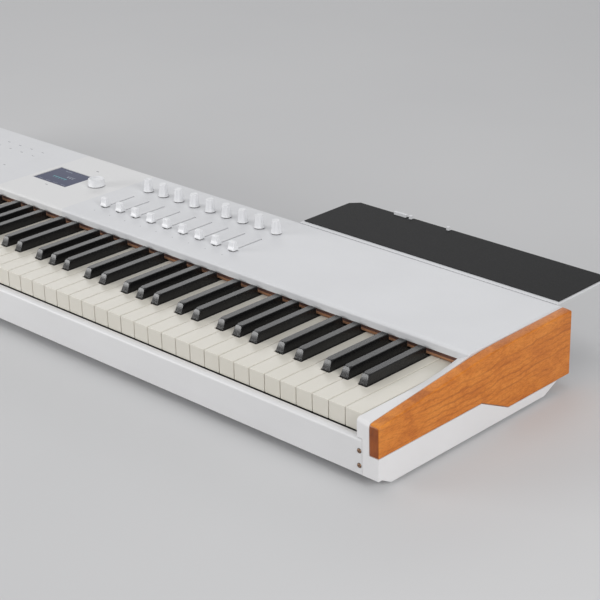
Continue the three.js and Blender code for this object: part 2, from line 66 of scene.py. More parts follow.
def box_mm(node):
    """A CAD node's lowest and highest corners, in millimetres from the keys' top front edge."""
    origin = row(0, 0, 0)
    return [(corner - origin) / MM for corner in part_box(node)]


# ---------------------------------------------------------------- mesh helpers
def mesh_of(name, points, faces):
    """A closed mesh from points in millimetres, with its faces turned outwards."""
    mesh = bpy.data.meshes.new(name)
    mesh.from_pydata([row(*point) for point in points], [], faces)
    work = bmesh.new()
    work.from_mesh(mesh)
    bmesh.ops.recalc_face_normals(work, faces=work.faces)
    work.to_mesh(mesh)
    work.free()
    return mesh


def loft(rings):
    """Points and faces of a closed shape through rings of points, capped at both ends."""
    count = len(rings[0])
    points = [point for ring in rings for point in ring]
    faces = [tuple(range(count))[::-1]]
    for level in range(len(rings) - 1):
        for i in range(count):
            j = (i + 1) % count
            low, high = level * count, (level + 1) * count
            faces.append((low + i, low + j, high + j, high + i))
    faces.append(tuple(range(len(points) - count, len(points))))
    return points, faces


def joined(shapes):
    """Several (points, faces) shapes as one."""
    points, faces = [], []
    for more_points, more_faces in shapes:
        start = len(points)
        points += more_points
        faces += [tuple(start + i for i in face) for face in more_faces]
    return points, faces


def prism_x(outline, x0, x1):
    """An outline of (y, z) points drawn out along X."""
    return loft([[(x, y, z) for y, z in outline] for x in (x0, x1)])


def prism_y(outline, y0, y1):
    """An outline of (x, z) points drawn out along Y."""
    return loft([[(x, y, z) for x, z in outline] for y in (y0, y1)])


def prism_z(outline, z0, z1):
    """An outline of (x, y) points drawn out along Z."""
    return loft([[(x, y, z) for x, y in outline] for z in (z0, z1)])


def block(x0, x1, y0, y1, z0, z1):
    return prism_z([(x0, y0), (x1, y0), (x1, y1), (x0, y1)], z0, z1)


def turned(profile, centre, segments=48, flutes=0, axis="Z"):
    """A turned shape from (radius, height, flute depth) levels, round an axis through centre."""
    rings = []
    for radius, height, depth in profile:
        ring = []
        for i in range(segments):
            angle = 2 * math.pi * i / segments
            reach = radius - depth * (0.5 + 0.5 * math.cos(flutes * angle))
            across, up = reach * math.cos(angle), reach * math.sin(angle)
            offset = {"Z": (across, up, height), "X": (height, across, up), "Y": (up, height, across)}[axis]
            ring.append(tuple(c + o for c, o in zip(centre, offset)))
        rings.append(ring)
    return loft(rings)


def hoop(inner, outer, low, high, centre, segments=40):
    """A flat ring round an axis along Y."""
    corners = [(inner, low), (outer, low), (outer, high), (inner, high)]
    points, faces = turned([(radius, height, 0) for radius, height in corners], centre, segments, axis="Y")
    closing = []
    for i in range(segments):
        j = (i + 1) % segments
        closing.append((3 * segments + i, 3 * segments + j, j, i))
    return points, faces[1:-1] + closing


def arc(centre, radius, start, end, steps):
    """Points on an arc, between two angles in degrees."""
    angles = [math.radians(start + (end - start) * i / steps) for i in range(steps + 1)]
    return [(centre[0] + radius * math.cos(a), centre[1] + radius * math.sin(a)) for a in angles]


# ---------------------------------------------------------------- pieces
def add_piece(name, mesh, finish, body, replaces=()):
    piece = bpy.data.objects.new(name, mesh)
    bpy.context.scene.collection.objects.link(piece)
    mesh.materials.clear()
    mesh.materials.append(finish)
    mesh.polygons.foreach_set("use_smooth", [True] * len(mesh.polygons))
    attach(piece, body)
    if replaces:
        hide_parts(*replaces)
    return piece


def add_shape(name, shape, finish, body, replaces=(), edge=0.0, segments=3, angle=35):
    piece = add_piece(name, mesh_of(name, *shape), finish, body, replaces)
    if edge:
        soften(piece, edge, segments, angle)
    else:
        keep_creases(piece, angle)
    return piece


def soften(piece, width, segments=3, angle=35):
    """Rounds the piece's sharp edges and keeps its large faces flat."""
    bevel = piece.modifiers.new("Rounded edges", "BEVEL")
    bevel.width = width * MM
    bevel.segments = segments
    bevel.limit_method = "ANGLE"
    bevel.angle_limit = math.radians(angle)
    bevel.miter_outer = "MITER_ARC"
    flat = piece.modifiers.new("Flat faces", "WEIGHTED_NORMAL")
    flat.keep_sharp = True


def keep_creases(piece, angle):
    work = bmesh.new()
    work.from_mesh(piece.data)
    for edge in work.edges:
        if len(edge.link_faces) == 2 and edge.calc_face_angle() > math.radians(angle):
            edge.smooth = False
    work.to_mesh(piece.data)
    work.free()


def refined(node, finish, body, edge, segments=3, angle=38, merge=True):
    """The CAD node's own shape with rounded edges, standing for the node."""
    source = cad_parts[node]
    mesh = source.data.copy()
    mesh.transform(source.matrix_world)
    work = bmesh.new()
    work.from_mesh(mesh)
    bmesh.ops.remove_doubles(work, verts=work.verts, dist=0.01 * MM)
    if merge:
        flat = math.radians(0.6)
        bmesh.ops.dissolve_limit(work, angle_limit=flat, verts=work.verts, edges=work.edges)
    work.to_mesh(mesh)
    work.free()
    piece = add_piece(node + "_finished", mesh, finish, body, (node,))
    if edge:
        soften(piece, edge, segments, angle)
    return piece


# ---------------------------------------------------------------- materials
class Finish:
    """A material's node tree, with a short call for each kind of node used here."""

    def __init__(self, name, roughness, **sockets):
        self.material = bpy.data.materials.new(name)
        self.material.use_nodes = True
        self.tree = self.material.node_tree
        self.shader = self.tree.nodes["Principled BSDF"]
        self.shader.inputs["Roughness"].default_value = roughness
        for socket, value in sockets.items():
            self.shader.inputs[socket.replace("_", " ")].default_value = value
        self.place = self.tree.nodes.new("ShaderNodeTexCoord").outputs["Object"]

    def node(self, kind, inputs=(), **settings):
        made = self.tree.nodes.new("ShaderNode" + kind)
        for key, value in settings.items():
            setattr(made, key, value)
        for socket, value in dict(inputs).items():
            self.set(made.inputs[socket], value)
        return made

    def set(self, socket, value):
        if isinstance(value, bpy.types.NodeSocket):
            self.tree.links.new(value, socket)
        else:
            socket.default_value = value

    def stretched(self, x, y, z):
        mapping = self.node("Mapping", {"Vector": self.place, "Scale": (x, y, z)})
        return mapping.outputs["Vector"]

    def noise(self, scale, detail=3.0, roughness=0.55, place=None, distortion=0.0):
        inputs = {
            "Vector": place or self.place, "Scale": scale, "Detail": detail,
            "Roughness": roughness, "Distortion": distortion,
        }
        return self.node("TexNoise", inputs).outputs["Fac"]

    def ramp(self, value, *stops):
        made = self.node("ValToRGB", {"Fac": value})
        elements = made.color_ramp.elements
        while len(elements) < len(stops):
            elements.new(0.5)
        for element, (position, colour) in zip(elements, stops):
            element.position = position
            element.color = (*colour, 1) if len(colour) == 3 else colour
        return made.outputs["Color"]

    def mapped(self, value, low, high, to_low, to_high):
        inputs = {"Value": value, "From Min": low, "From Max": high, "To Min": to_low, "To Max": to_high}
        return self.node("MapRange", inputs).outputs["Result"]

    def maths(self, operation, a, b=0.0):
        return self.node("Math", {0: a, 1: b}, operation=operation).outputs["Value"]

    def mix(self, factor, a, b, blend="MIX"):
        made = self.node("Mix", data_type="RGBA", blend_type=blend)
        self.set(made.inputs["Factor"], factor)
        self.set(made.inputs[6], a)
        self.set(made.inputs[7], b)
        return made.outputs[2]

    def bump(self, height, depth_mm, strength=1.0):
        inputs = {"Height": height, "Strength": strength, "Distance": depth_mm * MM}
        if self.shader.inputs["Normal"].is_linked:
            inputs["Normal"] = self.shader.inputs["Normal"].links[0].from_socket
        made = self.node("Bump", inputs)
        self.set(self.shader.inputs["Normal"], made.outputs["Normal"])

    def colour(self, value):
        self.set(self.shader.inputs["Base Color"], value)

    def rough(self, value):
        self.set(self.shader.inputs["Roughness"], value)

    def axis(self, index):
        return self.node("SeparateXYZ", {"Vector": self.place}).outputs[index]


def tone(colour, factor):
    return tuple(min(1.0, channel * factor) for channel in colour)


def plastic(name, colour, roughness, grain=0.012, speckle=900, **sockets):
    """Moulded plastic or powder coat: a faint drift of tone and a fine texture in the gloss."""
    finish = Finish(name, roughness, **sockets)
    drift = finish.noise(7.0, 4.0)
    finish.colour(finish.ramp(drift, (0.3, tone(colour, 0.965)), (0.7, tone(colour, 1.02))))
    fine = finish.noise(speckle, 2.0)
    finish.rough(finish.mapped(fine, 0.3, 0.7, roughness - 0.05, roughness + 0.06))
    finish.bump(fine, grain)
    return finish


PANEL_BEFORE = 8.5  # how far the warmer panel reaches past the display's bass side
PANEL_AFTER = 63.5  # and past its treble side
PANEL_COLOUR = (0.735, 0.733, 0.732, 1)


def deck_finish(colour):
    """White powder coat with the slightly warmer panel round the display."""
    finish = plastic("Deck powder coat", colour, 0.46, 0.01, 1500)
    low, high = display_low.x - PANEL_BEFORE, display_high.x + PANEL_AFTER
    x = finish.axis(0)
    after = finish.maths("GREATER_THAN", x, low * MM)
    before = finish.maths("LESS_THAN", x, high * MM)
    panel = finish.maths("MULTIPLY", after, before)
    base = finish.shader.inputs["Base Color"].links[0].from_socket
    finish.colour(finish.mix(panel, base, PANEL_COLOUR))
    return finish.material


def wood_finish():
    """Oiled cherry: thin wavy streaks along the cheek, mottling, fine pores, and darker end grain whose
    darkness is partly painted shade.
    """
    finish = Finish("Oiled wood", 0.42, Specular_IOR_Level=0.3, Coat_Weight=0.2, Coat_Roughness=0.18)
    mottle = finish.noise(1.0, 4.0, 0.65, place=finish.stretched(20.0, 26.0, 60.0), distortion=0.6)
    light, middle, dark = (0.74, 0.262, 0.036), (0.65, 0.205, 0.022), (0.50, 0.136, 0.012)
    base = finish.ramp(mottle, (0.28, dark), (0.5, middle), (0.7, light))
    bend = finish.noise(1.0, 1.5, 0.4, place=finish.stretched(2.0, 7.5, 5.0))
    ripple = finish.noise(1.0, 2.0, 0.5, place=finish.stretched(6.0, 34.0, 20.0))
    height = finish.maths("ADD", finish.axis(2), finish.maths("MULTIPLY", bend, 0.03))
    height = finish.maths("ADD", height, finish.maths("MULTIPLY", ripple, 0.008))
    wave = finish.maths("SINE", finish.maths("MULTIPLY", height, 900.0))
    broken = finish.noise(1.0, 3.0, 0.6, place=finish.stretched(20.0, 7.0, 50.0))
    strength = finish.mapped(broken, 0.38, 0.6, 0.0, 0.52)
    line = finish.maths("MULTIPLY", finish.mapped(wave, 0.2, 1.0, 0.0, 1.0), strength)
    streaked = finish.mix(line, base, (0.33, 0.078, 0.009, 1))
    pores = finish.noise(1.0, 3.0, 0.65, place=finish.stretched(700.0, 190.0, 900.0))
    pore_tint = finish.ramp(pores, (0.33, (0.6, 0.5, 0.4)), (0.55, (1, 1, 1)))
    flank = finish.mix(0.5, streaked, pore_tint, "MULTIPLY")
    # Faces towards the front and rear get a dark ring colour: partly real end grain, partly painted shade of
    # the cheeks' end faces.
    rings = finish.noise(60.0, 4.0, 0.7, place=finish.stretched(1.0, 0.05, 0.5))
    end = finish.ramp(rings, (0.35, (0.20, 0.042, 0.003)), (0.65, (0.33, 0.080, 0.008)))
    normal = finish.node("NewGeometry").outputs["Normal"]
    facing = finish.node("SeparateXYZ", {"Vector": normal}).outputs[1]
    is_end = finish.mapped(finish.maths("ABSOLUTE", facing), 0.75, 0.95, 0.0, 1.0)
    finish.colour(finish.mix(is_end, flank, end))
    finish.rough(finish.mapped(pores, 0.3, 0.7, 0.48, 0.34))
    finish.bump(pores, 0.05)
    return finish.material


def felt_finish(name, light, dark):
    finish = Finish(name, 0.92, Sheen_Weight=0.35, Sheen_Roughness=0.5)
    nap = finish.noise(900.0, 3.0, 0.7, place=finish.stretched(0.35, 1.0, 1.0))
    patches = finish.noise(60.0, 2.0)
    finish.colour(finish.mix(patches, finish.ramp(nap, (0.3, dark), (0.7, light)), (*tone(light, 0.8), 1)))
    finish.bump(nap, 0.25)
    return finish.material


def white_key_finish():
    """Semi-gloss warm white with a faint drift of tone and a haze in the gloss."""
    finish = Finish("White key plastic", 0.3, Specular_IOR_Level=0.45, Coat_Weight=0.15, Coat_Roughness=0.2)
    drift = finish.noise(9.0, 3.0)
    finish.colour(finish.ramp(drift, (0.3, (0.665, 0.635, 0.555)), (0.7, (0.70, 0.67, 0.60))))
    haze = finish.noise(240.0, 4.0)
    finish.rough(finish.mapped(haze, 0.3, 0.7, 0.28, 0.38))
    finish.bump(finish.noise(500.0, 2.0), 0.002)
    return finish.material


def black_key_finish():
    finish = Finish("Black key plastic", 0.24, Specular_IOR_Level=0.48)
    drift = finish.noise(30.0, 3.0)
    finish.colour(finish.ramp(drift, (0.3, (0.0035, 0.0035, 0.0038)), (0.7, (0.006, 0.006, 0.0064))))
    fine = finish.noise(1200.0, 2.0)
    finish.rough(finish.mapped(fine, 0.3, 0.7, 0.23, 0.32))
    finish.bump(fine, 0.012)
    return finish.material


def screen_finish():
    """A matt display window, a little darker towards its front edge."""
    finish = Finish("Display glass", 0.5, Specular_IOR_Level=0.12)
    across = finish.mapped(finish.axis(1), *[corner.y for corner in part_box("display")], 0.0, 1.0)
    shade = finish.ramp(across, (0.0, (0.082, 0.09, 0.145)), (1.0, (0.12, 0.128, 0.185)))
    finish.colour(finish.mix(finish.noise(40.0, 2.0), shade, (0.10, 0.11, 0.168, 1)))
    finish.bump(finish.noise(2200.0, 1.0), 0.003)
    return finish.material


def bronze_finish():
    finish = Finish("Bronzed screw", 0.28, Metallic=1.0)
    turned_marks = finish.noise(1300.0, 3.0)
    finish.colour(finish.ramp(turned_marks, (0.3, (0.20, 0.12, 0.08)), (0.7, (0.38, 0.25, 0.17))))
    finish.rough(finish.mapped(turned_marks, 0.3, 0.7, 0.22, 0.36))
    finish.bump(turned_marks, 0.01)
    return finish.material


def steel_finish():
    finish = Finish("Bright steel", 0.24, Metallic=1.0)
    brushed = finish.noise(900.0, 3.0, place=finish.stretched(1.0, 0.1, 1.0))
    finish.colour(finish.ramp(brushed, (0.3, (0.52, 0.5, 0.47)), (0.7, (0.68, 0.66, 0.63))))
    finish.rough(finish.mapped(brushed, 0.3, 0.7, 0.2, 0.34))
    finish.bump(brushed, 0.01)
    return finish.material


def ink_finish(name, colour):
    finish = Finish(name, 0.5)
    finish.colour(finish.ramp(finish.noise(700.0, 2.0), (0.3, tone(colour, 0.9)), (0.7, tone(colour, 1.1))))
    return finish.material


def floor_finish():
    finish = Finish("Pale studio floor", 0.7, Specular_IOR_Level=0.2)
    finish.colour(finish.ramp(finish.noise(1.2, 3.0), (0.3, (0.60, 0.60, 0.605)), (0.7, (0.63, 0.63, 0.632))))
    finish.bump(finish.noise(140.0, 3.0), 0.02)
    return finish.material


display_low, display_high = box_mm("display")
PAINT_COLOUR = (0.70, 0.705, 0.72)
DECK_PAINT = deck_finish(PAINT_COLOUR)
WHITE_PAINT = plastic("White powder coat", PAINT_COLOUR, 0.46, 0.01, 1500).material
WHITE_MOULDING = plastic("White moulding", (0.765, 0.758, 0.76), 0.42, 0.01, 1300).material
RAIL_PAINT = plastic("Rail paint", (0.715, 0.712, 0.715), 0.4, 0.01, 1300).material
KNOB_PLASTIC = plastic("Knob plastic", (0.79, 0.795, 0.81), 0.38, 0.012, 1600).material
SILICONE = plastic("White silicone", (0.78, 0.78, 0.775), 0.6, 0.02, 1100).material
# Dark moulding for the keybed frame, levers and fader stems, also used as painted shade under the knobs,
# encoder, fader caps and round the rail screws.
DARK_FRAME_AND_SHADE = plastic("Dark moulding and painted shade", (0.035, 0.033, 0.032), 0.6, 0.05, 700).material
SHEET_COLOUR = (0.0165, 0.0165, 0.017)
SHELF_SHEET = plastic("Dark shelf sheet", SHEET_COLOUR, 0.6, 0.03, 900, Specular_IOR_Level=0.15).material
SOCKET_BLACK = plastic("Black socket", (0.012, 0.012, 0.013), 0.4, 0.02, 900).material
RUBBER = plastic("Foot rubber", (0.02, 0.02, 0.02), 0.8, 0.08, 600).material
STEEL = steel_finish()
BRONZE = bronze_finish()
WOOD = wood_finish()
FELT = felt_finish("Copper felt", (0.62, 0.29, 0.14), (0.34, 0.135, 0.055))
# Dark brown felt used as painted shade: it stands for the shadow above the copper felt, under the deck's nose.
FELT_SHADE = felt_finish("Painted shade above felt", (0.16, 0.06, 0.035), (0.075, 0.028, 0.018))
IVORY = white_key_finish()
EBONY = black_key_finish()
SCREEN = screen_finish()
GREY_INK = ink_finish("Grey print", (0.16, 0.165, 0.18))
TEAL_INK = ink_finish("Teal screen lines", (0.12, 0.42, 0.47))
PALE_INK = ink_finish("Pale screen lines", (0.38, 0.42, 0.48))

# ---------------------------------------------------------------- keys
STEP_NAMES = ["C", "D", "E", "F", "G", "A", "B"]
BLACK_AFTER = {0: -2.35, 1: 2.35, 3: -3.36, 4: 0.0, 5: 3.36}  # a sharp's offset from the gap beside its key
KEY_AIR = 0.8  # gap between two white keys
SHOULDER = 48.3  # where a white key narrows beside a black one
sharp_low, sharp_high = box_mm("key_A_sharp7")
BLACK_WIDTH = sharp_high.x - sharp_low.x
BLACK_FRONT = sharp_low.y
BLACK_REAR = 148.0
BLACK_HEIGHT = sharp_high.z
BLACK_AIR = 0.9  # gap between a black key and the white keys beside it
LEVER_WIDTH = 10.0
LEVER_LENGTH = 96.0  # how far a black key's lever runs back under the deck


def step_of(white):
    return (white + 5) % 7


def gap_x(white):
    return -KEYS_HALF + (white + 1) * WHITE_PITCH


def black_after(white):
    offset = BLACK_AFTER.get(step_of(white))
    if offset is None or not 0 <= white < WHITE_COUNT - 1:
        return None
    return gap_x(white) + offset


def body_of_white(white):
    if white < WHITE_COUNT - SEPARATE_WHITES:
        return "white_keys_low"
    return "key_" + STEP_NAMES[step_of(white)] + ("8" if white == WHITE_COUNT - 1 else "7")


def body_of_black(white):
    if white < WHITE_COUNT - SEPARATE_WHITES:
        return "black_keys_low"
    return "key_" + STEP_NAMES[step_of(white)] + "_sharp7"


def white_outline(white):
    """Plan outline of a white key, with its notches beside the black keys."""
    wide_left = gap_x(white) - WHITE_PITCH + KEY_AIR / 2
    wide_right = gap_x(white) - KEY_AIR / 2
    reach = BLACK_WIDTH / 2 + BLACK_AIR
    before, after = black_after(white - 1), black_after(white)
    left = wide_left if before is None else max(wide_left, before + reach)
    right = wide_right if after is None else min(wide_right, after - reach)
    points = [(wide_left, 0), (wide_right, 0)]
    if right < wide_right:
        points += [(wide_right, SHOULDER), (right, SHOULDER)]
    points += [(right, KEY_TAIL), (left, KEY_TAIL)]
    if left > wide_left:
        points += [(left, SHOULDER), (wide_left, SHOULDER)]
    return points


def add_white_keys():
    for white in range(WHITE_COUNT):
        body = body_of_white(white)
        shape = prism_z(white_outline(white), -KEY_HEIGHT, 0)
        name = f"white_key_{white + 1:02d}"
        add_shape(name, shape, IVORY, body, (body,), edge=0.75, segments=3)


def black_key_section(shoulder):
    """Cross-section of a black key as (x, z) points, with leaning flanks and round shoulders."""
    half, lean, level = BLACK_WIDTH / 2, 1.0, BLACK_HEIGHT - shoulder
    section = [(-half, -12.0), (-half, 0.0), *arc((shoulder + lean - half, level), shoulder, 172, 90, 6)]
    return [*section, *arc((half - lean - shoulder, level), shoulder, 90, 8, 6), (half, 0.0), (half, -12.0)]


def black_key_shape(x):
    """A slim bar, cut off at the front by a sloping facet with a round top."""
    slope, nose = 0.44, 9.0
    front = [(x + across, BLACK_FRONT + slope * max(0.0, z), z) for across, z in black_key_section(3.2)]
    bar = black_key_section(0.9)
    rings = [front, *([(x + across, y, z) for across, z in bar] for y in (BLACK_FRONT + nose, BLACK_REAR))]
    points, faces = loft(rings)
    last = len(front) - 1
    facet, foot = tuple(range(1, last)), (0, 1, last - 1, last)
    return points, [facet, foot, *faces[1:]]


def add_black_keys():
    number = 0
    for white in range(WHITE_COUNT):
        x = black_after(white)
        if x is None:
            continue
        number += 1
        body = body_of_black(white)
        shape = black_key_shape(x)
        name = f"black_key_{number:02d}"
        add_shape(name, shape, EBONY, body, (body,), edge=0.5, segments=3, angle=30)
        lever = block(
            x - LEVER_WIDTH / 2, x + LEVER_WIDTH / 2, BLACK_REAR - 1, BLACK_REAR + LEVER_LENGTH, -10, -1.5,
        )
        add_shape(name + "_lever", lever, DARK_FRAME_AND_SHADE, body, (), edge=0.4, segments=2)


def add_felt():
    low, high = box_mm("key_felt")
    edge = 3.7
    strip = block(low.x, high.x, low.y, high.y, low.z, edge)
    # The dark strip above the copper felt is painted shade for the gap under the deck's nose.
    shade_strip = block(low.x, high.x, low.y + 0.4, high.y, edge + 0.2, high.z)
    add_shape("key_felt_strip", strip, FELT, "case", ("key_felt",), edge=0.7)
    add_shape("felt_painted_shade", shade_strip, FELT_SHADE, "case", ("key_felt",), edge=0.3)


# ---------------------------------------------------------------- case
def cut_to(piece, name, shape):
    """Leaves only what lies inside a shape."""
    tool = bpy.data.objects.new(name, mesh_of(name, *shape))
    bpy.context.scene.collection.objects.link(tool)
    cut = piece.modifiers.new(name, "BOOLEAN")
    cut.operation = "INTERSECT"
    cut.solver = "EXACT"
    cut.object = tool
    graph = bpy.context.evaluated_depsgraph_get()
    finish = piece.data.materials[0]
    shaped = bpy.data.meshes.new_from_object(piece.evaluated_get(graph))
    piece.modifiers.clear()
    piece.data = shaped
    shaped.materials.clear()
    shaped.materials.append(finish)
    shaped.polygons.foreach_set("use_smooth", [True] * len(shaped.polygons))
    bpy.data.objects.remove(tool)


def add_deck():
    """The control deck, with a soft nose, a rounded rear edge and rounded ends."""
    deck = refined("control_deck", DECK_PAINT, "case", 0, merge=False)
    low, high = box_mm("control_deck")
    nose, rear_round, end_round = 4.2, 2.2, 2.4
    side = [(low.y, low.z - 1)]
    side += arc((low.y + nose, high.z - nose), nose, 180, 90, 10)
    side += arc((high.y - rear_round, high.z - rear_round), rear_round, 90, 0, 6)
    side += [(high.y, low.z - 1)]
    cut_to(deck, "side profile", prism_x(side, low.x - 2, high.x + 2))
    across = [(low.x, low.z - 2)]
    across += arc((low.x + end_round, high.z - end_round), end_round, 180, 90, 6)
    across += arc((high.x - end_round, high.z - end_round), end_round, 90, 0, 6)
    across += [(high.x, low.z - 2)]
    cut_to(deck, "end profile", prism_y(across, low.y - 2, high.y + 2))
    soften(deck, 0.3, 2, 40)


RISE_START = -1.5  # height of a cheek's top at its front
RISE_SLOPE = 0.1065
RISE_BEND = 172.0  # where the ramp levels off
REAR_SLOPE = 0.008
RISE_SOFTNESS = 20.0
STEP_RISE = 22.4  # how much higher the front part of a cheek's lower edge is
STEP_FRONT = 158.5  # the slanted step in the lower edge, from its front
STEP_REAR = 206.0  # to its rear


def cheek_top(y, front):
    """Height of a cheek's top edge: a ramp beside the keys that levels off beside the deck."""
    ramp = RISE_START + RISE_SLOPE * (y - front)
    level = RISE_START + RISE_SLOPE * (RISE_BEND - front) + REAR_SLOPE * (y - RISE_BEND)
    blend = min(1.0, max(0.0, (y - RISE_BEND) / (2 * RISE_SOFTNESS) + 0.5))
    return min(ramp, level) - (RISE_SLOPE - REAR_SLOPE) * RISE_SOFTNESS * blend * (1 - blend)


def cheek_outline(front, rear, bottom, crown):
    """Side outline of a cheek, with round top corners; crown is how far this slice's top is lowered."""
    corner, tight = 5.0, 1.8
    start = cheek_top(front + corner, front) - crown
    outline = arc((front + corner, start - corner), corner, 180, 90, 8)
    depths = [20, 60, 100, 130] + [140 + 5 * i for i in range(14)] + [240, 280, rear - tight]
    outline += [(y, cheek_top(y, front) - crown) for y in depths]
    end = cheek_top(rear - tight, front) - crown
    outline += arc((rear - tight, end - tight), tight, 80, 0, 5)
    raised = bottom + STEP_RISE
    outline += [(rear, bottom), (STEP_REAR, bottom), (STEP_FRONT, raised), (front, raised)]
    return outline


def add_cheek(side):
    """A wooden cheek whose top is crowned and falls towards its outer face."""
    node = "wood_cheek_" + side
    low, high = box_mm(node)
    inner, outer = (low.x, high.x) if side == "right" else (high.x, low.x)
    slices = [(0.0, 0.0), (0.35, 0.1), (0.7, 0.45), (1.0, 1.0)]
    rings = []
    for share, crown in slices:
        x = inner + (outer - inner) * share
        rings.append([(x, y, z) for y, z in cheek_outline(low.y, high.y, low.z, crown)])
    add_shape(node + "_finished", loft(rings), WOOD, "case", (node,), edge=1.5, segments=4, angle=40)


def add_case():
    add_deck()
    refined("rear_panel", WHITE_PAINT, "case", 0.3, 2, merge=False)
    refined("bottom_tray", WHITE_PAINT, "case", 0.3, 2, 60)
    refined("keybed_frame", DARK_FRAME_AND_SHADE, "case", 0.8, 2)
    for side in ("right", "left"):
        refined("end_block_" + side, WHITE_MOULDING, "case", 0.7)
        add_cheek(side)


SCREW_HEIGHTS = (-37.0, -54.0)
SCREW_INSET = 3.6  # from the rail's end to its screws


def add_rail():
    """The rail in front of the keys, with a soft shoulder and two screws at each end."""
    low, high = box_mm("front_rail")
    shoulder = 4.6
    outline = [(low.y, low.z), (high.y, low.z), (high.y, high.z)]
    outline += arc((low.y + shoulder, high.z - shoulder), shoulder, 90, 180, 8)
    add_shape("front_rail_finished", prism_x(outline, low.x, high.x), RAIL_PAINT, "case",
              ("front_rail",), edge=0.5, angle=40)
    for side in (-1, 1):
        for number, z in enumerate(SCREW_HEIGHTS):
            dome = [
                (2.6, 0.3, 0), (2.6, -0.3, 0), (2.3, -0.9, 0), (1.6, -1.3, 0), (0.85, -1.4, 0), (0.8, -0.9, 0),
            ]
            centre = (side * (high.x - SCREW_INSET), low.y, z)
            screw = turned(dome, centre, 24, axis="Y")
            name = f"rail_screw_{'left' if side < 0 else 'right'}_{number + 1}"
            add_shape(name, screw, BRONZE, "case", (), angle=50)
            # The dark ring round each screw is painted shade: it stands for the shadow in the screw's
            # countersunk recess.
            recess_shade = turned([(2.95, 0.3, 0), (2.95, -0.08, 0), (2.4, -0.14, 0)], centre, 32, axis="Y")
            add_shape(name + "_recess_shade", recess_shade, DARK_FRAME_AND_SHADE, "case", (), angle=50)


def add_feet():
    for number in range(1, 5):
        low, high = box_mm(f"foot_{number}")
        centre = ((low.x + high.x) / 2, (low.y + high.y) / 2, low.z)
        radius, height = (high.x - low.x) / 2, high.z - low.z
        levels = [
            (radius - 3.0, 0.5, 0), (radius - 2.2, 0.0, 0), (radius - 1.4, 0.0, 0), (radius - 0.4, 0.7, 0),
            (radius, 1.6, 0), (radius, height, 0),
        ]
        add_shape(f"foot_{number}_finished", turned(levels, centre), RUBBER, "case",
                  (f"foot_{number}",), angle=50)


# ---------------------------------------------------------------- controls
DECK_TOP = box_mm("control_deck")[1].z
STRIP_COUNT = 9  # knobs, and fader caps under them


def rectangle(x, y, half_x, half_y, z):
    """A level rectangular ring of points round (x, y)."""
    corners = ((-1, -1), (1, -1), (1, 1), (-1, 1))
    return [(x + a * half_x, y + b * half_y, z) for a, b in corners]


def add_knobs():
    """Tapered knobs with soft facets, each raised over a dark ring of painted shade on the deck."""
    for number in range(1, STRIP_COUNT + 1):
        node = f"knob_{number}"
        low, high = box_mm(node)
        centre = ((low.x + high.x) / 2, (low.y + high.y) / 2, 0)
        top, foot = high.z, DECK_TOP + 1.0
        levels = [
            (3.0, low.z, 0), (3.0, foot, 0), (6.8, foot, 0), (7.25, foot + 0.3, 0), (7.25, foot + 0.9, 0),
            (7.0, foot + 1.3, 0.2), (6.8, foot + 2.2, 0.6), (6.45, foot + 5.0, 1.1), (6.0, foot + 9.0, 1.1),
            (5.6, top - 2.4, 0.9), (5.35, top - 1.1, 0.5), (4.9, top - 0.3, 0.3), (4.4, top, 0.1),
            (3.6, top - 0.15, 0), (1.2, top - 0.3, 0),
        ]
        shape = turned(levels, centre, 96, flutes=6)
        add_shape(node + "_finished", shape, KNOB_PLASTIC, node, (node,), angle=60)
        # The dark ring under each knob is painted shade: it stands for the shadow in the gap below the knob's
        # raised foot.
        ring = [(6.2, DECK_TOP + 0.02, 0), (6.5, DECK_TOP + 0.2, 0), (6.3, DECK_TOP + 0.8, 0)]
        shade_ring = turned(ring, centre, 40)
        add_shape(node + "_shade_ring", shade_ring, DARK_FRAME_AND_SHADE, "case", (), angle=50)


def add_faders():
    """Fader caps: a rectangular foot that narrows to a wide grip, held just clear of the deck over a dark
    block of painted shade.
    """
    base = DECK_TOP + 1.1
    for number in range(1, STRIP_COUNT + 1):
        node = f"fader_cap_{number}"
        low, high = box_mm(node)
        x, y, top = (low.x + high.x) / 2, (low.y + high.y) / 2, high.z
        levels = [
            (5.5, 4.6, base), (5.5, 4.6, base + 1.5), (5.3, 3.9, base + 2.6), (5.15, 3.2, base + 4.2),
            (5.0, 2.8, base + 6.4), (4.9, 2.75, top - 0.9), (4.5, 2.3, top),
        ]
        rings = [rectangle(x, y, w, d, z) for w, d, z in levels]
        add_shape(node + "_finished", loft(rings), KNOB_PLASTIC, node, (node,), edge=0.45, angle=11)
        stem = block(x - 0.8, x + 0.8, y - 2.6, y + 2.6, low.z, base + 0.5)
        add_shape(node + "_stem", stem, DARK_FRAME_AND_SHADE, node, (), edge=0.2, segments=2)
        # The dark block under each cap is painted shade: it stands for the shadow in the gap between the cap
        # and the deck.
        shade_foot = block(x - 4.6, x + 4.6, y - 3.8, y + 3.8, base - 0.9, base + 0.1)
        add_shape(node + "_shade_foot", shade_foot, DARK_FRAME_AND_SHADE, node, (), edge=0.3, segments=2)


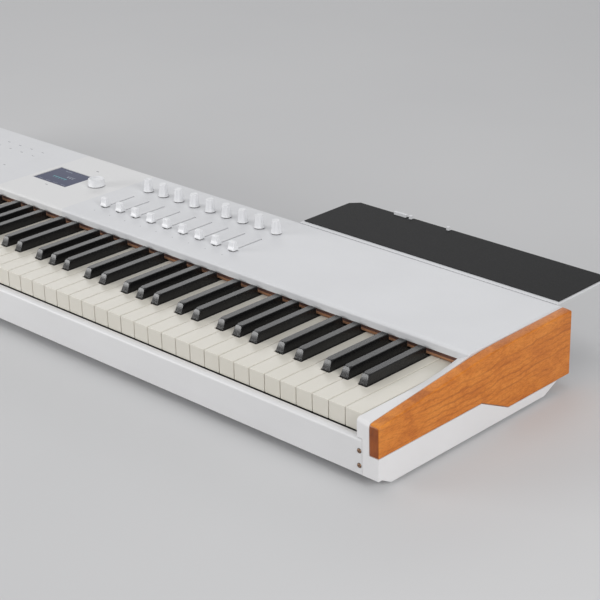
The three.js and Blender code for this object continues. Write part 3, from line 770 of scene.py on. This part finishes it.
def add_encoder():
    """The main encoder: a finely ribbed drum with a dished top."""
    low, high = box_mm("main_encoder")
    centre = ((low.x + high.x) / 2, (low.y + high.y) / 2, 0)
    base, top = DECK_TOP + 0.7, high.z
    levels = [
        (3.4, low.z, 0), (3.4, base, 0), (11.5, base, 0), (12.0, base + 0.4, 0), (12.0, base + 1.2, 0),
        (11.7, base + 1.8, 0.25), (11.0, top - 1.4, 0.25), (10.8, top - 0.5, 0), (10.2, top, 0),
        (9.3, top, 0), (8.9, top - 0.5, 0), (8.6, top - 1.2, 0), (7.8, top - 1.5, 0), (2.0, top - 1.6, 0),
    ]
    shape = turned(levels, centre, 160, flutes=32)
    add_shape("main_encoder_finished", shape, KNOB_PLASTIC, "main_encoder",
              ("main_encoder",), angle=60)
    # The dark ring under the encoder is painted shade for the shadow in the gap below its raised base.
    ring = [(11.0, DECK_TOP + 0.02, 0), (11.3, DECK_TOP + 0.2, 0), (11.0, DECK_TOP + 0.6, 0)]
    shade_ring = turned(ring, centre, 60)
    add_shape("main_encoder_shade_ring", shade_ring, DARK_FRAME_AND_SHADE, "case", (), angle=50)


def add_wheels():
    for node in ("pitch_wheel", "mod_wheel"):
        low, high = box_mm(node)
        centre = ((low.x + high.x) / 2, (low.y + high.y) / 2, (low.z + high.z) / 2)
        radius, half = (high.z - low.z) / 2, (high.x - low.x) / 2
        levels = [
            (radius - 6, 0.6 - half, 0), (radius - 1.6, -half, 0), (radius - 0.5, 0.5 - half, 0.2),
            (radius, 1.4 - half, 0.8), (radius, half - 1.4, 0.8), (radius - 0.5, half - 0.5, 0.2),
            (radius - 1.6, half, 0), (radius - 6, half - 0.6, 0),
        ]
        shape = turned(levels, centre, 240, flutes=60, axis="X")
        add_shape(node + "_finished", shape, KNOB_PLASTIC, node, (node,), angle=50)


def flat_mark(x, y, z, half_x, half_y, turn=0.0):
    """A printed bar lying on a surface, turned about Z by an angle in degrees."""
    c, s = math.cos(math.radians(turn)), math.sin(math.radians(turn))
    corners = [(-half_x, -half_y), (half_x, -half_y), (half_x, half_y), (-half_x, half_y)]
    outline = [(x + a * c - b * s, y + a * s + b * c) for a, b in corners]
    return prism_z(outline, z - 0.03, z + EDGE_OUT)


def add_display():
    low, high = box_mm("display")
    glass = block(low.x, high.x, low.y, high.y, low.z, high.z)
    add_shape("display_finished", glass, SCREEN, "case", ("display",), edge=0.3)
    middle_x, middle_y, top = (low.x + high.x) / 2, (low.y + high.y) / 2, high.z
    pale = [flat_mark(middle_x + dx, low.y + 5.0, top, 4.6, 0.25) for dx in (-24, -8, 8, 24)]
    pale.append(flat_mark(low.x + 24, high.y - 6.0, top, 7, 0.4))
    pale.append(flat_mark(middle_x + 10, middle_y + 7, top, 8, 0.3))
    pale += [flat_mark(middle_x + 10 + dx, middle_y + 4, top, 1.2, 1.2, 45) for dx in (-5, 0, 5)]
    teal = [flat_mark(middle_x - 3, middle_y - 3, top, 14, 0.55)]
    for i in range(5):
        teal.append(flat_mark(middle_x - 15 + 6 * i, middle_y - 5.2, top, 0.5, 1.3 + 0.4 * (i % 3)))
    add_shape("screen_lines_pale", joined(pale), PALE_INK, "case", (), angle=30)
    add_shape("screen_lines_teal", joined(teal), TEAL_INK, "case", (), angle=30)


BUTTON_WIDTH, BUTTON_DEPTH = 20.0, 11.0
BUTTON_COLUMNS = 5
BUTTON_RISES = (0, 18, 51.1, 69.1)  # the four lines of buttons, from the front line
MAT_MARGIN = 3  # from the mat's edges to the outer buttons


def button_places():
    """Centres of the flush buttons: five columns and four lines between the mat's edges."""
    low, high = box_mm("button_mat")
    first_x, last_x = low.x + MAT_MARGIN + BUTTON_WIDTH / 2, high.x - MAT_MARGIN - BUTTON_WIDTH / 2
    pitch = (last_x - first_x) / (BUTTON_COLUMNS - 1)
    lines = [low.y + MAT_MARGIN + BUTTON_DEPTH / 2 + rise for rise in BUTTON_RISES]
    return [(first_x + pitch * i, y) for y in lines for i in range(BUTTON_COLUMNS)]


def add_pads_and_buttons():
    refined("pad_mat", SILICONE, "case", 1.0, merge=False)
    low, high = box_mm("button_mat")
    film = block(low.x - 3, high.x + 3, low.y - 3, high.y + 3, DECK_TOP + 0.02, DECK_TOP + 0.06)
    domes = []
    for x, y in button_places():
        rings = []
        for inset, rise in ((0.0, 0.03), (0.5, 0.1), (1.4, 0.14)):
            w, d = BUTTON_WIDTH / 2 - inset, BUTTON_DEPTH / 2 - inset
            rings.append(rectangle(x, y, w, d, DECK_TOP + rise))
        domes.append(loft(rings))
    add_shape("button_film", film, DECK_PAINT, "case", ("button_mat",), angle=30)
    add_shape("button_domes", joined(domes), DECK_PAINT, "case", ("button_mat",), angle=60)


FADER_MARK_Y = 177.2  # a small mark in front of each fader slot


def add_print():
    """Small generic grey marks beside the controls."""
    marks = []
    for number in range(1, STRIP_COUNT + 1):
        low, high = box_mm(f"fader_cap_{number}")
        x = (low.x + high.x) / 2
        marks.append(flat_mark(x, FADER_MARK_Y, DECK_TOP, 0.9, 0.4))
    low, high = box_mm("display")
    marks.append(flat_mark(high.x - 15, high.y + 20, DECK_TOP, 2.4, 0.75))
    marks.append(flat_mark((low.x + high.x) / 2 + 6, low.y - 9, DECK_TOP, 2.2, 0.65))
    add_shape("deck_print", joined(marks), GREY_INK, "case", (), angle=30)
    icons = []
    for number, (x, y) in enumerate(button_places()):
        column, line = number % BUTTON_COLUMNS, number // BUTTON_COLUMNS
        if line == 1 or (line == 0 and column < 3):
            continue
        icons.append(flat_mark(x - 1.0, y, DECK_TOP + 0.16, 1.5, 0.5))
        icons.append(flat_mark(x + 1.6, y, DECK_TOP + 0.16, 0.6, 0.7 + 0.3 * (column % 2)))
    add_shape("button_icons", joined(icons), GREY_INK, "case", (), angle=30)


# ---------------------------------------------------------------- shelf and rear
def add_shelf():
    refined("shelf_plate", WHITE_PAINT, "shelf", 0.35, 2)
    refined("shelf_mat", SHELF_SHEET, "shelf", 0.35, 2)
    refined("shelf_bracket", WHITE_PAINT, "shelf", 0.5, 2)


BOARD_MARGIN = 11.0  # from the jack board's ends to the outer jacks
JACK_COUNT = 3


def add_jack_nuts():
    low, high = box_mm("jack_sockets")
    height, face = (low.z + high.z) / 2, box_mm("rear_panel")[1].y
    pitch = (high.x - low.x - 2 * BOARD_MARGIN) / (JACK_COUNT - 1)
    for number in range(JACK_COUNT):
        centre = (low.x + BOARD_MARGIN + pitch * number, face, height)
        nut = hoop(5.3, 7.6, 0.05, 1.5, centre, 6)
        add_shape(f"jack_nut_{number + 1}", nut, STEEL, "case", (), edge=0.3, segments=2)


def add_socket_cores():
    """The tongue inside the USB socket and the pin inside the power inlet."""
    low, high = box_mm("usb_socket")
    x, z = (low.x + high.x) / 2, (low.z + high.z) / 2
    tongue = block(x - 2.9, x + 2.9, high.y - 13, high.y - 2, z - 1.5, z + 1.5)
    add_shape("usb_tongue", tongue, WHITE_MOULDING, "case", (), edge=0.2, segments=2)
    low, high = box_mm("power_inlet")
    centre = ((low.x + high.x) / 2, high.y, (low.z + high.z) / 2)
    pin = turned([(1.0, -13.0, 0), (1.0, -2.6, 0), (0.7, -2.0, 0)], centre, 24, axis="Y")
    add_shape("inlet_pin", pin, STEEL, "case", (), angle=50)


def add_sockets():
    refined("jack_sockets", SOCKET_BLACK, "case", 0.25, 2)
    refined("usb_socket", STEEL, "case", 0.2, 2)
    refined("power_inlet", SOCKET_BLACK, "case", 0.25, 2)
    refined("power_switch", SOCKET_BLACK, "power_switch", 0.5, 3)
    add_jack_nuts()
    add_socket_cores()


# ---------------------------------------------------------------- camera, floor and light
CAMERA_PLACE = (1.6705, -1.3839, 0.8845)
CAMERA_AZIMUTH = math.radians(44.208)
CAMERA_ELEVATION = math.radians(23.286)
CAMERA_ROLL = math.radians(-1.327)
LENS_MM = 104.15
SENSOR_MM = 36.0


def add_camera():
    """The camera at the photograph's viewing angle."""
    azimuth, elevation, roll = CAMERA_AZIMUTH, CAMERA_ELEVATION, CAMERA_ROLL
    ahead = math.cos(elevation)
    forward = Vector((-math.sin(azimuth) * ahead, math.cos(azimuth) * ahead, -math.sin(elevation)))
    level = Vector((math.cos(azimuth), math.sin(azimuth), 0))
    upright = level.cross(forward)
    right = level * math.cos(roll) + upright * math.sin(roll)
    up = right.cross(forward)
    data = bpy.data.cameras.new("Camera")
    data.sensor_width = SENSOR_MM
    data.lens = LENS_MM
    camera = bpy.data.objects.new("Camera", data)
    bpy.context.scene.collection.objects.link(camera)
    rotation = Matrix((right, up, -forward)).transposed()
    camera.matrix_world = Matrix.Translation(CAMERA_PLACE) @ rotation.to_4x4()
    bpy.context.scene.camera = camera


FLOOR_RADIUS = 7.0  # metres


def add_floor():
    work = bmesh.new()
    bmesh.ops.create_circle(work, cap_ends=True, segments=96, radius=FLOOR_RADIUS)
    mesh = bpy.data.meshes.new("Floor")
    work.to_mesh(mesh)
    work.free()
    mesh.materials.append(floor_finish())
    floor = bpy.data.objects.new("Floor", mesh)
    bpy.context.scene.collection.objects.link(floor)


def add_light(name, place, target, size, power):
    """A soft rectangular light; places and sizes in metres, power in watts."""
    data = bpy.data.lights.new(name, "AREA")
    data.shape = "RECTANGLE"
    data.size, data.size_y = size
    data.energy = power
    light = bpy.data.objects.new(name, data)
    light.location = place
    light.rotation_euler = (Vector(target) - Vector(place)).to_track_quat("-Z", "Y").to_euler()
    bpy.context.scene.collection.objects.link(light)


SKY_COLOUR = (0.975, 0.98, 1.0, 1)
SKY_STRENGTH = 0.42


def add_studio():
    world = bpy.data.worlds.new("Studio")
    world.use_nodes = True
    background = world.node_tree.nodes["Background"]
    background.inputs["Color"].default_value = SKY_COLOUR
    background.inputs["Strength"].default_value = SKY_STRENGTH
    bpy.context.scene.world = world
    add_light("Overhead softbox", (0.0, 0.3, 2.3), (0.1, 0, 0), (2.0, 1.4), 9.5)
    add_light("Front softbox", (-1.75, -2.2, 0.75), (0.1, 0, 0.05), (1.8, 0.6), 39)
    add_light("Rear softbox", (-1.75, 2.1, 1.3), (0.1, 0, 0.05), (2.4, 0.8), 9.5)
    add_light("Treble side softbox", (2.6, -0.6, 1.3), (0.5, 0, 0.05), (1.2, 1.2), 31)
    bpy.context.scene.view_settings.view_transform = "Standard"


add_white_keys()
add_black_keys()
add_felt()
add_case()
add_rail()
add_feet()
add_knobs()
add_faders()
add_encoder()
add_wheels()
add_display()
add_pads_and_buttons()
add_print()
add_shelf()
add_sockets()
add_camera()
add_floor()
add_studio()
